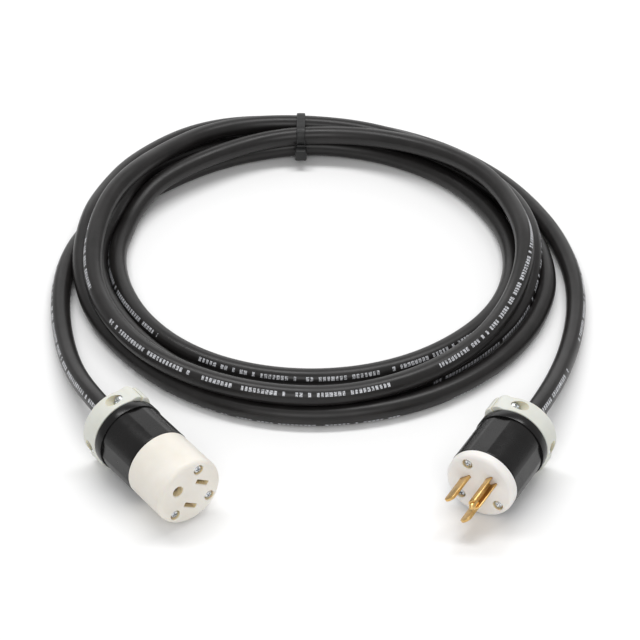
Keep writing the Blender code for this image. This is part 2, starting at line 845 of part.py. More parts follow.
def make_conductor(name, spec, label, beside, parent):
    """A bare end beside the terminal screw, and the insulated core from there to the jacket."""
    core_back = spec["terminal"] - TERMINAL_BACK
    jacket_end = spec["shell_end"] + JACKET_INSIDE
    step = TERMINAL_SHANK_R + COPPER_R + GAP
    side = Vector((-step, 0, 0)) if label == "ground" else Vector((0, step, 0))
    start = beside + side
    copper = rod_mesh(COPPER_R, start + Vector((0, 0, 2.6)), (start.x, start.y, core_back), 10)
    add_object("%s_wire_end_%s" % (name, label), copper, "copper", parent)
    lay = math.radians(CORE_LAY[label])
    at_jacket = Vector((CORE_LAY_R * math.cos(lay), CORE_LAY_R * math.sin(lay), jacket_end + GAP))
    at_core = Vector((start.x, start.y, core_back - GAP))
    straight = Vector((0, 0, 1.6))
    middle = (at_core + at_jacket) / 2
    route = (at_core, at_core - straight, middle, at_jacket + straight, at_jacket)
    tube(
        "%s_wire_%s" % (name, label),
        smooth_route(route, 3.0),
        WIRE_R,
        "wire_" + label,
        parent,
        resolution=2,
    )


def make_device(name, spec, frame):
    parent = bpy.data.objects.new(name + "_frame", None)
    PARTS.objects.link(parent)
    parent.matrix_world = frame
    make_front(name, spec, parent)
    make_shell(name, spec, parent)
    make_clamp(name, spec, parent)
    make_assembly_screws(name, spec, parent)
    if name == "plug":
        make_plug_contacts(spec, parent)
    else:
        make_connector_contacts(spec, parent)
    make_terminals(name, spec, parent)


clear_scene()
PARTS = collection("power_cord")
CUTTERS = collection("cutters")
MATERIALS = {name: material(name) for name in COLOURS}
FRAMES = {name: device_frame(spec) for name, spec in DEVICES.items()}
make_cord(FRAMES)
make_tie()
for device, facts in DEVICES.items():
    make_device(device, facts, FRAMES[device])
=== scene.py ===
"""A shore power cord: four turns of heavy rubber cord in a flat coil, held by a cable tie,
with a straight-blade plug on one end and a matching connector on the other.

Shapes are worked out in millimetres and turned into metres when a mesh is made.
"""

import math

import bmesh
import bpy
import numpy as np
from mathutils import Matrix, Vector, noise


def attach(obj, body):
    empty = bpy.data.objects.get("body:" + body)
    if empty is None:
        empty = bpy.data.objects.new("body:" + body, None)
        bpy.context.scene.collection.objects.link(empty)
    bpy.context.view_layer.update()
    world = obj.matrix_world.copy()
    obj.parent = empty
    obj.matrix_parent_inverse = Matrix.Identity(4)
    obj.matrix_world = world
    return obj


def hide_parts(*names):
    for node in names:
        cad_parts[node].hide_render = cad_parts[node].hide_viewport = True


MM = 0.001

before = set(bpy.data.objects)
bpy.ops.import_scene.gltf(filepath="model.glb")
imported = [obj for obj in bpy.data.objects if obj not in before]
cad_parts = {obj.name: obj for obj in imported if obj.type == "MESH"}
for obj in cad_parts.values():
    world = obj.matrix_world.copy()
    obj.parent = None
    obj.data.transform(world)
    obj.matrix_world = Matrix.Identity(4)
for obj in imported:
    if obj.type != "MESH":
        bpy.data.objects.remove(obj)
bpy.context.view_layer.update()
scene = bpy.context.scene

# ---------------------------------------------------------------- sizes

CORD_R = 5.08
REST_R = 5.15
ROUTE_STEP = 3.0
ROUTE_GAP = 10.12
TIE_LIFT = 1.3
RING_SIDES = 28
PRINT_PITCH = 2.05
PRINT_HALF_HEIGHT = 1.08
PRINT_REPEAT = 187.0
COIL_CENTRE = (-2.0, 40.0)
TIE_X = -9.9

SHELL_R = 18.0
SHELL_INNER = 15.6
COLLAR_LENGTH = 5.2
GRIP_R = 17.5
GRIP_CROWN = 0.2
FLAT_HALF = 14.3
GRIP_BAND = (16.0, 17.9)
FRONT_R = 17.3
SHOULDER = {"plug": 2.0, "connector": 2.7}
CORE_R = 14.9
HOLE_R = 5.45
REAR_WALL = 2.6

CLAMP_LENGTH = 10.8
CLAMP_R = 17.8
CLAMP_LOBE_X = 19.6
CLAMP_SPLIT = 0.6
CLAMP_SCREW_X = 13.0
CLAMP_SEAT_Y = 6.4
CLAMP_GAP = 0.3
CLAMP_POCKET_R = 3.0
CLAMP_HEAD = (2.7, 3.2)
CLAMP_SHANK_R = 1.9
CLAMP_SHANK_END = -11.0

ASSEMBLY_R = 12.6
ASSEMBLY_ANGLES = (80, 180, -80)
ASSEMBLY_HEAD = (2.15, 1.8)
ASSEMBLY_SHANK_R = 1.6
ASSEMBLY_RECESS = 2.6
THREAD_PITCH = 1.1
SHANK_PLAY = 0.3

BLADE_X = 6.35
BLADE_Y = -4.0
BLADE_WIDTH = 6.35
BLADE_THICK = 1.5
BLADE_LENGTH = 17.5
GROUND_Y = 7.9
GROUND_WIDTH = 4.8
GROUND_WALL = 1.0
GROUND_LENGTH = 20.6
CONTACT_PLAY = 0.06
SLOT_HALF = (1.1, 3.7)
GROUND_HOLE_R = 2.75
MOUTH_DEPTH = 5.0
MOUTH_BEVEL = 0.45

STRAP_HALF = 2.4
STRAP_THICK = 1.1
TIE_HEAD = (3.3, 3.4, 5.2)

DEVICES = {
    "plug": {
        "place": (75.0, -154.18, 18.3),
        "heading": 29.3,
        "roll": 48.0,
        "front_end": -4.6,
        "terminal": -13.0,
        "shell_end": -37.2,
        "grip": 106.0,
    },
    "connector": {
        "place": (-59.0, -159.0, 18.3),
        "heading": -37.2,
        "roll": -56.0,
        "front_end": -25.8,
        "terminal": -33.0,
        "shell_end": -54.2,
        "grip": 71.7,
    },
}

# Where the cord follows a device's axis, measured from the rear of its shell: a little way
# inside, the shell's rear wall, the middle of the clamp, and the clamp's rear face.
AXIS_STATIONS = (6.1, 0.0, -5.4, -10.8)

# Route of the cord: stations along each turn as (clock, radius, height) about the coil's
# centre. Clock 0 is the far side, 90 the right.
FLOOR = 5.2
CONNECTOR_LEAD = (
    (-104.0, -97.0, 17.4),
    (-110.0, -86.0, 15.4),
    (-117.0, -72.0, 12.4),
    (-123.5, -55.0, 9.3),
    (-128.7, -36.0, 6.9),
    (-132.6, -17.0, 5.6),
    (-135.0, 2.0, REST_R),
    (-135.8, 16.0, REST_R),
)
PLUG_LEAD = (
    (104.6, -101.0, 17.4),
    (110.3, -88.0, 15.2),
    (116.8, -72.0, 12.0),
    (123.5, -52.5, 8.8),
    (129.3, -32.0, 6.6),
    (133.4, -12.0, 5.4),
    (135.7, 8.0, REST_R),
    (135.8, 24.0, REST_R),
    (134.2, 38.0, REST_R),
)
ARRIVAL = (
    *((264, 134.3), (270, 132.1), (275, 130), (280, 128), (285, 125.5), (290, 122.8)),
    *((295, 120.2), (300, 117.5), (305, 115), (310, 112.8), (316, 111.4), (325, 110.6)),
    *((335, 110.1), (346, 109.6, 5.4)),
)
INNER_TURN = (
    *((0, 109.6, 6.4), (10, 111, 5.6), (20, 111.6), (30, 111), (40, 109.3), (50, 107.8)),
    *((60, 107), (70, 107.1), (80, 107.1), (90, 106.5), (100, 105.8), (110, 104.9)),
    *((120, 103.6), (130, 102.1), (140, 101), (150, 100.4), (165, 99.9), (180, 99.7)),
    *((195, 100.4), (210, 101.4), (225, 102.3), (240, 103.1), (250, 103.8), (260, 105)),
    *((270, 106.5, 5.4), (280, 109, 6.2), (290, 110.6, 8.4), (300, 109.4, 11.3)),
    *((310, 106.6, 13.3), (320, 104.8, 14.3), (330, 104.6, 14.5), (340, 105.7, 14.8)),
    *((350, 105.9, 15.8),),
)
TOP_TURN = (
    *((0, 105.5, 16.4), (10, 105.2, 17.4), (20, 105.6, 18.6), (30, 106, 19.8)),
    *((40, 107.4, 21), (50, 109.2, 21.8), (60, 110.3, 22.2), (70, 110.5, 22)),
    *((80, 110.8, 22), (90, 112, 22.3), (100, 112.6, 19.8), (110, 112.3, 16.2)),
    *((120, 113.4, 15.3), (135, 116.9, 15.2), (150, 119.9, 14.5), (165, 122.4, 14.1)),
    *((180, 124.4, 14), (195, 124.1, 14.1), (210, 124.4, 15.2), (225, 123.6, 15.5)),
    *((240, 121.2, 15.5), (250, 120.4, 16.5), (260, 118.8, 18.3), (270, 117.2, 20.2)),
    *((280, 116.5, 22.2), (290, 115.8, 24.6), (300, 113.9, 25), (310, 115.2, 22.7)),
    *((320, 117.8, 20.3), (330, 121, 18.6), (340, 120.7, 17.4), (350, 118.6, 16.7)),
)
MIDDLE_TURN = (
    *((0, 116.2, 16.4), (10, 116.9, 14.6), (20, 115.8, 14), (30, 114.8, 13.8)),
    *((40, 114.9, 13.9), (50, 115.4, 14), (60, 115.8, 14.3), (70, 117.9, 14.5)),
    *((80, 117.6, 14.2), (90, 117.3, 13.7), (100, 116.5, 9.5), (110, 115.7, 5.5)),
    *((120, 114.9), (135, 113.9), (150, 114.4), (165, 116.6), (180, 118), (195, 117.2)),
    *((210, 115.5), (225, 113.5), (240, 113.5), (250, 114.2), (260, 115.6), (270, 116.8)),
    *((280, 117.4, 8), (290, 115.2, 14), (300, 117.3, 15.4), (310, 120, 12.3)),
    *((320, 121, 9.8), (330, 120.8, 7.8), (340, 120, 6.4), (350, 119.4, 6)),
)
OUTER_TURN = (
    *((0, 119, 6.4), (10, 118.8, 5.5), (20, 118.5), (40, 118), (60, 118.6), (70, 119.8)),
    *((80, 121.4), (90, 123.1), (100, 124.9), (110, 125.6), (120, 126.4), (135, 127)),
    *((150, 127.9), (165, 128.3), (180, 128.4), (195, 127.8), (210, 126.2), (225, 123.9)),
    *((240, 122.9), (250, 123.2, 6.5), (260, 124, 9.5), (270, 124.3, 12), (280, 123.6, 14.2)),
    *((290, 122.8, 15), (300, 124.4, 14.8), (310, 127.6, 14), (320, 131.2, 13.3)),
    *((330, 133, 12.2), (340, 132.6, 10.5), (350, 131.2, 8.2)),
)
DEPARTURE = (
    *((0, 129.3, 6.4), (10, 128.9, 5.5), (20, 128), (30, 127.3), (40, 127.5), (50, 128.2)),
    *((60, 128.9), (70, 130.1), (80, 132.7)),
)
# Where the print line lies round the cord: (turn, clock, degrees from the top outwards).
PRINT_LINE = (
    *((0, 225, 60), (0, 264, 65), (0, 300, 60), (0, 346, 60)),
    *((1, 0, 40), (1, 60, 60), (1, 110, 60), (1, 130, 50), (1, 150, 51), (1, 180, 57)),
    *((1, 210, 52), (1, 240, 45), (1, 255, 60), (1, 285, 80), (1, 320, 100), (1, 350, 110)),
    *((2, 0, 110), (2, 50, 95), (2, 78, 75), (2, 95, 40), (2, 110, 18), (2, 135, 36)),
    *((2, 150, 40), (2, 180, 47), (2, 225, 42), (2, 250, 50), (2, 270, 60), (2, 288, 80)),
    *((2, 320, 100), (2, 350, 110)),
    *((3, 0, 115), (3, 50, 100), (3, 75, 70), (3, 107, 75), (3, 130, 85), (3, 157, 95)),
    *((3, 180, 130), (3, 250, 150), (3, 300, 160)),
    *((4, 0, 160), (4, 60, 150), (4, 120, 135), (4, 140, 122), (4, 205, 127), (4, 230, 140)),
    *((4, 290, 150), (4, 350, 150)),
    *((5, 0, 150), (5, 30, 120), (5, 60, 90), (5, 80, 60), (5, 130, 57)),
)


# ---------------------------------------------------------------- mesh helpers


def add_piece(name, mesh, finish, body="cord_assembly", stands_for=()):
    """Links a mesh as a piece that rides on a body and stands for the named CAD nodes."""
    obj = bpy.data.objects.new(name, mesh)
    scene.collection.objects.link(obj)
    mesh.materials.clear()
    mesh.materials.append(finish)
    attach(obj, body)
    if stands_for:
        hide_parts(*stands_for)
    return obj


def smooth_by_angle(mesh, degrees=32.0):
    mesh.shade_smooth()
    mesh.set_sharp_from_angle(angle=math.radians(degrees))
    return mesh


def mesh_from(verts, faces, name="piece"):
    mesh = bpy.data.meshes.new(name)
    mesh.from_pydata([tuple(v) for v in verts], [], faces)
    mesh.validate()
    work = bmesh.new()
    work.from_mesh(mesh)
    bmesh.ops.recalc_face_normals(work, faces=work.faces)
    work.to_mesh(mesh)
    work.free()
    return mesh


def turned(mesh, matrix):
    mesh.transform(matrix)
    return mesh


def joined(meshes):
    work = bmesh.new()
    for mesh in meshes:
        work.from_mesh(mesh)
    made = bpy.data.meshes.new("joined")
    work.to_mesh(made)
    work.free()
    return made


def lathe(profile, sides=72, around=None):
    """Solid of revolution about Z, its profile as (radius, z) in order.

    around(radius, angle) may change the radius; a radius of 0 makes a pole.
    """
    verts, rings = [], []
    for radius, z in profile:
        if radius == 0:
            rings.append([len(verts)])
            verts.append((0, 0, z * MM))
            continue
        ring = []
        for j in range(sides):
            angle = 2 * math.pi * j / sides
            r = radius if around is None else around(radius, angle)
            ring.append(len(verts))
            verts.append((r * math.cos(angle) * MM, r * math.sin(angle) * MM, z * MM))
        rings.append(ring)
    faces = []
    closed = profile[0][0] != 0
    pairs = list(zip(rings, rings[1:])) + ([(rings[-1], rings[0])] if closed else [])
    for a, b in pairs:
        for j in range(sides):
            k = (j + 1) % sides
            if len(a) == 1:
                faces.append((a[0], b[k], b[j]))
            elif len(b) == 1:
                faces.append((a[j], a[k], b[0]))
            else:
                faces.append((a[j], a[k], b[k], b[j]))
    return mesh_from(verts, faces)


def inset(outline, distance):
    """The outline, counter-clockwise, moved inwards with mitred corners."""
    points = [Vector(p) for p in outline]
    moved = []
    for before, here, after in zip(points[-1:] + points[:-1], points, points[1:] + points[:1]):
        e1 = (here - before).normalized()
        e2 = (after - here).normalized()
        n1, n2 = Vector((-e1.y, e1.x)), Vector((-e2.y, e2.x))
        middle = n1 + n2
        if middle.length < 1e-6:
            middle = n1
        middle.normalize()
        reach = distance / max(0.35, middle.dot(n1))
        moved.append(tuple(here + middle * reach))
    return moved


def prism(outline, low, high, edge=0.0, steps=3, top_edge=None):
    """Outline in XY run from z = low to z = high, with rounded rims of radius edge."""
    top_edge = edge if top_edge is None else top_edge
    layers = []
    for k in range(steps + 1) if edge else ():
        turn = math.pi / 2 * k / steps
        layers.append((edge * (1 - math.sin(turn)), low + edge * (1 - math.cos(turn))))
    if not edge:
        layers.append((0.0, low))
    for k in range(steps, -1, -1) if top_edge else ():
        turn = math.pi / 2 * k / steps
        layers.append((top_edge * (1 - math.sin(turn)), high - top_edge * (1 - math.cos(turn))))
    if not top_edge:
        layers.append((0.0, high))
    verts = []
    for distance, z in layers:
        ring = inset(outline, distance) if distance > 1e-6 else outline
        verts += [(x * MM, y * MM, z * MM) for x, y in ring]
    n = len(outline)
    faces = [tuple(range(n)), tuple(range(len(verts) - n, len(verts)))]
    for i in range(len(layers) - 1):
        for j in range(n):
            k = (j + 1) % n
            faces.append((i * n + j, i * n + k, (i + 1) * n + k, (i + 1) * n + j))
    return mesh_from(verts, faces)


def flared(outline, low, high, flare):
    """A cutter whose top spreads by flare over the same height, which chamfers the hole."""
    wide = inset(outline, -flare)
    wider = inset(outline, -flare - 1.0)
    verts = []
    for ring, z in ((outline, low), (outline, high - flare), (wide, high), (wider, high + 1)):
        verts += [(x * MM, y * MM, z * MM) for x, y in ring]
    n = len(outline)
    faces = [tuple(range(n)), tuple(range(3 * n, 4 * n))]
    for i in range(3):
        for j in range(n):
            k = (j + 1) % n
            faces.append((i * n + j, i * n + k, (i + 1) * n + k, (i + 1) * n + j))
    return mesh_from(verts, faces)


def circle(x, y, radius, sides=32):
    step = 2 * math.pi / sides
    return [(x + radius * math.cos(step * i), y + radius * math.sin(step * i)) for i in range(sides)]


def arc(radius, start, end, count, x=0.0, y=0.0):
    points = []
    for i in range(count + 1):
        angle = math.radians(start + (end - start) * i / count)
        points.append((x + radius * math.cos(angle), y + radius * math.sin(angle)))
    return points


def rounded_box(x0, y0, x1, y1, radius, count=4):
    corners = ((x1, y1, 0), (x0, y1, 90), (x0, y0, 180), (x1, y0, 270))
    points = []
    for x, y, start in corners:
        cx = x - radius if start in (0, 270) else x + radius
        cy = y - radius if start in (0, 90) else y + radius
        points += arc(radius, start, start + 90, count, cx, cy)
    return points


def combined(mesh, others, operation="DIFFERENCE"):
    """The mesh with the other meshes cut away from it, or added to it, one after another."""
    for other in others:
        a = bpy.data.objects.new("work_a", mesh)
        b = bpy.data.objects.new("work_b", other)
        scene.collection.objects.link(a)
        scene.collection.objects.link(b)
        step = a.modifiers.new("cut", "BOOLEAN")
        step.operation, step.solver, step.object = operation, "EXACT", b
        graph = bpy.context.evaluated_depsgraph_get()
        mesh = bpy.data.meshes.new_from_object(a.evaluated_get(graph))
        bpy.data.objects.remove(a)
        bpy.data.objects.remove(b)
    return mesh


# ---------------------------------------------------------------- materials


class Finish:
    """A node material, with short ways to add the nodes that its looks need."""

    def __init__(self, name, **sockets):
        self.material = bpy.data.materials.new(name)
        self.material.use_nodes = True
        self.tree = self.material.node_tree
        self.shader = self.tree.nodes["Principled BSDF"]
        for socket, value in sockets.items():
            self.shader.inputs[socket.replace("_", " ")].default_value = value
        self.coords = self.tree.nodes.new("ShaderNodeTexCoord")

    def link(self, a, b):
        self.tree.links.new(a, b)

    def math(self, operation, a, b=0.0, c=0.0):
        node = self.tree.nodes.new("ShaderNodeMath")
        node.operation = operation
        for socket, value in zip(node.inputs, (a, b, c)):
            if isinstance(value, (int, float)):
                socket.default_value = value
            else:
                self.link(value, socket)
        return node.outputs[0]

    def noise(self, scale, detail=3.0, roughness=0.55, stretch=None):
        """Noise over the object's own coordinates, which are the row frame in metres."""
        node = self.tree.nodes.new("ShaderNodeTexNoise")
        node.inputs["Scale"].default_value = scale
        node.inputs["Detail"].default_value = detail
        node.inputs["Roughness"].default_value = roughness
        source = self.coords.outputs["Object"]
        if stretch:
            place = self.tree.nodes.new("ShaderNodeMapping")
            place.inputs["Rotation"].default_value = stretch[0]
            place.inputs["Scale"].default_value = stretch[1]
            self.link(source, place.inputs["Vector"])
            source = place.outputs["Vector"]
        self.link(source, node.inputs["Vector"])
        return node.outputs["Fac"]

    def ramp(self, factor, *stops):
        node = self.tree.nodes.new("ShaderNodeValToRGB")
        steps = node.color_ramp.elements
        while len(steps) < len(stops):
            steps.new(1.0)
        for step, (place, colour) in zip(steps, stops):
            step.position = place
            step.color = (*colour, 1.0)
        self.link(factor, node.inputs["Fac"])
        return node.outputs["Color"]

    def spread(self, factor, low, high, start=0.3, end=0.7):
        node = self.tree.nodes.new("ShaderNodeMapRange")
        node.inputs["From Min"].default_value = start
        node.inputs["From Max"].default_value = end
        node.inputs["To Min"].default_value = low
        node.inputs["To Max"].default_value = high
        self.link(factor, node.inputs["Value"])
        return node.outputs["Result"]

    def mix(self, factor, a, b):
        node = self.tree.nodes.new("ShaderNodeMix")
        node.data_type = "RGBA"
        self.link(factor, node.inputs["Factor"])
        for socket, value in ((node.inputs[6], a), (node.inputs[7], b)):
            if isinstance(value, tuple):
                socket.default_value = (*value, 1.0)
            else:
                self.link(value, socket)
        return node.outputs[2]

    def bump(self, height, strength, distance, below=None):
        node = self.tree.nodes.new("ShaderNodeBump")
        node.inputs["Strength"].default_value = strength
        node.inputs["Distance"].default_value = distance
        self.link(height, node.inputs["Height"])
        if below is not None:
            self.link(below, node.inputs["Normal"])
        return node.outputs["Normal"]

    def set(self, socket, output):
        self.link(output, self.shader.inputs[socket])


def rubber_finish():
    """Black thermoplastic rubber, faintly mottled, with a worn line of white print."""
    f = Finish("cord_rubber", Specular_IOR_Level=0.36)
    uv = f.tree.nodes.new("ShaderNodeSeparateXYZ")
    f.link(f.coords.outputs["UV"], uv.inputs["Vector"])
    around, along = uv.outputs["X"], uv.outputs["Y"]
    mottle = f.noise(90.0, 4.0)
    base = f.ramp(mottle, (0.3, (0.0095, 0.0088, 0.0086)), (0.72, (0.0165, 0.0150, 0.0147)))

    half_turned = f.math("FRACT", f.math("ADD", around, 0.5))
    offset = f.math("ABSOLUTE", f.math("SUBTRACT", half_turned, 0.5))
    aside = f.math("MULTIPLY", offset, 2 * math.pi * CORD_R)
    length = f.math("MULTIPLY", along, 1 / MM)
    mark = f.math("DIVIDE", length, PRINT_PITCH)
    inside = f.math("FRACT", mark)
    number = f.math("FLOOR", mark)
    chance = f.tree.nodes.new("ShaderNodeTexWhiteNoise")
    chance.noise_dimensions = "1D"
    f.link(number, chance.inputs["W"])
    fill = f.math("GREATER_THAN", chance.outputs["Value"], 0.17)
    width = f.math("MULTIPLY_ADD", chance.outputs["Value"], 0.16, 0.24)
    stroke = f.math("LESS_THAN", f.math("ABSOLUTE", f.math("SUBTRACT", inside, 0.5)), width)
    tall = f.math("LESS_THAN", aside, PRINT_HALF_HEIGHT)
    repeat = f.math("FRACT", f.math("DIVIDE", length, PRINT_REPEAT))
    message = f.math("GREATER_THAN", repeat, 0.15)
    wear = f.noise(1500.0, 2.0)
    notch = f.spread(wear, 0.15, 1.0, 0.36, 0.56)
    inked = f.math("MULTIPLY", f.math("MULTIPLY", stroke, tall), f.math("MULTIPLY", fill, message))
    print_mask = f.math("MULTIPLY", inked, notch)
    f.set("Base Color", f.mix(print_mask, base, (0.58, 0.59, 0.62)))

    haze = f.noise(38.0, 3.0)
    f.set("Roughness", f.spread(haze, 0.30, 0.42))
    grain = f.noise(2600.0, 2.0)
    dents = f.noise(260.0, 2.0)
    f.set("Normal", f.bump(grain, 0.22, 0.00006, f.bump(dents, 0.30, 0.00012)))
    return f.material


def moulded_finish(name, dark, light, low, high, grain=0.18, scale=45.0, **sockets):
    """Moulded plastic: slight colour drift, a fine satin grain, some faint flow marks."""
    f = Finish(name, **sockets)
    drift = f.noise(scale, 3.0)
    f.set("Base Color", f.ramp(drift, (0.32, dark), (0.68, light)))
    f.set("Roughness", f.spread(f.noise(scale * 3, 4.0), low, high))
    fine = f.noise(2200.0, 3.0)
    f.set("Normal", f.bump(fine, grain, 0.00005, f.bump(f.noise(70.0, 2.0), 0.12, 0.0004)))
    return f.material


def metal_finish(name, dark, light, low, high, direction=None, scratch=0.25):
    """Plated or bare metal, brushed where a direction is given, with tarnish in patches."""
    f = Finish(name, Metallic=1.0)
    tarnish = f.noise(240.0, 4.0)
    f.set("Base Color", f.ramp(tarnish, (0.30, dark), (0.66, light)))
    f.set("Roughness", f.spread(f.noise(420.0, 3.0), low, high))
    stretch = None
    if direction is not None:
        stretch = ((0.0, 0.0, -math.atan2(direction.y, direction.x)), (0.06, 1.0, 1.0))
    f.set("Normal", f.bump(f.noise(5200.0, 2.0, 0.5, stretch), scratch, 0.00004))
    return f.material


FINISHES = {}
NYLON = {
    "Subsurface_Weight": 0.22,
    "Subsurface_Radius": (0.004, 0.003, 0.002),
    "Subsurface_Scale": 0.5,
}
# Subsurface settings for the painted-shade copies of the nylon used in recesses and pockets.
NYLON_PAINTED_SHADE = {
    "Subsurface_Weight": 0.3,
    "Subsurface_Radius": (0.004, 0.003, 0.0015),
    "Subsurface_Scale": 0.6,
}


def make_finishes():
    way = {name: frame_of(spec).to_3x3().col[2] for name, spec in DEVICES.items()}
    FINISHES.update(
        cord=rubber_finish(),
        shell=moulded_finish(
            "shell_black", (0.0045, 0.0042, 0.0042), (0.0075, 0.007, 0.007), 0.20, 0.30, 0.12, 60.0,
            Specular_IOR_Level=0.33,
        ),
        plug_face=moulded_finish(
            "nylon_plug", (0.80, 0.775, 0.745), (0.86, 0.84, 0.815), 0.36, 0.46, 0.10, 55.0,
            **NYLON,
        ),
        connector_face=moulded_finish(
            "nylon_connector", (0.76, 0.72, 0.645), (0.84, 0.81, 0.75), 0.36, 0.46, 0.10, 42.0,
            **NYLON,
        ),
        # Painted shade: a darker, warmer copy of the face nylon, given to the front's recess faces
        # where shade falls.
        nylon_deep=moulded_finish(
            "nylon_deep", (0.80, 0.68, 0.44), (0.86, 0.75, 0.52), 0.40, 0.50, 0.10, 60.0,
            **NYLON_PAINTED_SHADE,
        ),
        # Painted shade: a warmer tan copy of the clamp nylon for the pocket and hole faces, standing
        # in for the light inside them.
        clamp_deep=moulded_finish(
            "clamp_deep", (0.66, 0.63, 0.50), (0.72, 0.70, 0.58), 0.40, 0.50, 0.10, 60.0,
            **NYLON_PAINTED_SHADE,
        ),
        clamp=moulded_finish(
            "nylon_clamp", (0.62, 0.63, 0.57), (0.70, 0.705, 0.655), 0.36, 0.48, 0.14, 60.0,
            **NYLON,
        ),
        tie=moulded_finish(
            "tie_nylon", (0.006, 0.006, 0.006), (0.012, 0.012, 0.012), 0.36, 0.50, 0.25, 120.0,
            Specular_IOR_Level=0.40,
        ),
        brass=metal_finish(
            "brass_plug", (0.58, 0.35, 0.11), (0.80, 0.55, 0.23), 0.30, 0.46, way["plug"]
        ),
        brass_inner=metal_finish(
            "brass_connector", (0.60, 0.36, 0.115), (0.78, 0.53, 0.21), 0.26, 0.38, way["connector"]
        ),
        zinc=metal_finish("zinc_plate", (0.52, 0.54, 0.56), (0.74, 0.76, 0.78), 0.20, 0.32),
        copper=metal_finish("copper_strand", (0.62, 0.27, 0.15), (0.80, 0.42, 0.26), 0.30, 0.42),
        wire_hot=moulded_finish(
            "wire_black", (0.018, 0.018, 0.018), (0.03, 0.03, 0.03), 0.38, 0.5, 0.2, 90.0
        ),
        wire_neutral=moulded_finish(
            "wire_white", (0.70, 0.70, 0.67), (0.80, 0.80, 0.77), 0.38, 0.5, 0.2, 90.0
        ),
        wire_ground=moulded_finish(
            "wire_green", (0.02, 0.16, 0.05), (0.03, 0.24, 0.08), 0.38, 0.5, 0.2, 90.0
        ),
    )


# ---------------------------------------------------------------- cord


def frame_of(spec):
    """Columns: across, ground side, out of the front face; the face's centre as origin."""
    heading, roll = math.radians(spec["heading"]), math.radians(spec["roll"])
    out = Vector((-math.sin(heading), -math.cos(heading), 0))
    right = Vector((math.cos(heading), -math.sin(heading), 0))
    ground = math.cos(roll) * Vector((0, 0, 1)) + math.sin(roll) * right
    turn = Matrix((ground.cross(out), ground, out)).transposed().to_4x4()
    return Matrix.Translation(Vector(spec["place"]) * MM) @ turn


def station(clock, radius, height=FLOOR):
    angle = math.radians(90 - clock)
    return (
        COIL_CENTRE[0] + radius * math.cos(angle),
        COIL_CENTRE[1] + radius * math.sin(angle),
        height,
    )


def through_clamp(name):
    """Points on the device's axis, from inside the shell to the rear of the clamp."""
    spec = DEVICES[name]
    where = frame_of(spec)
    end = spec["shell_end"]
    return [tuple(where @ Vector((0, 0, (end + z) * MM)) / MM) for z in AXIS_STATIONS]


def resampled(points, step):
    lengths = np.concatenate([[0], np.cumsum(np.linalg.norm(np.diff(points, axis=0), axis=1))])
    where = np.linspace(0, lengths[-1], int(round(lengths[-1] / step)) + 1)
    return np.stack([np.interp(where, lengths, points[:, k]) for k in range(3)], 1)


def curve_through(stations, step):
    """Centripetal Catmull-Rom curve through the stations, in even steps."""
    p = np.array(stations, float)
    p = np.vstack([2 * p[0] - p[1], p, 2 * p[-1] - p[-2]])
    pieces = []
    for p0, p1, p2, p3 in zip(p, p[1:], p[2:], p[3:]):
        t0 = 0.0
        t1 = t0 + np.linalg.norm(p1 - p0) ** 0.5
        t2 = t1 + np.linalg.norm(p2 - p1) ** 0.5
        t3 = t2 + np.linalg.norm(p3 - p2) ** 0.5
        count = max(2, int(np.linalg.norm(p2 - p1) / 0.5))
        t = np.linspace(t1, t2, count, endpoint=False)[:, None]
        a1 = (t1 - t) / (t1 - t0) * p0 + (t - t0) / (t1 - t0) * p1
        a2 = (t2 - t) / (t2 - t1) * p1 + (t - t1) / (t2 - t1) * p2
        a3 = (t3 - t) / (t3 - t2) * p2 + (t - t2) / (t3 - t2) * p3
        b1 = (t2 - t) / (t2 - t0) * a1 + (t - t0) / (t2 - t0) * a2
        b2 = (t3 - t) / (t3 - t1) * a2 + (t - t1) / (t3 - t1) * a3
        pieces.append((t2 - t) / (t2 - t1) * b1 + (t - t1) / (t2 - t1) * b2)
    pieces.append(p[-2:-1])
    return resampled(np.vstack(pieces), step)


def eased(values, weight, held=1):
    """One smoothing pass along the cord; the first and last few points stay."""
    made = values.copy()
    middle = 0.5 * (values[:-2] + values[2:])
    made[1:-1] = values[1:-1] * (1 - weight) + weight * middle
    made[:held], made[-held:] = values[:held], values[-held:]
    return made


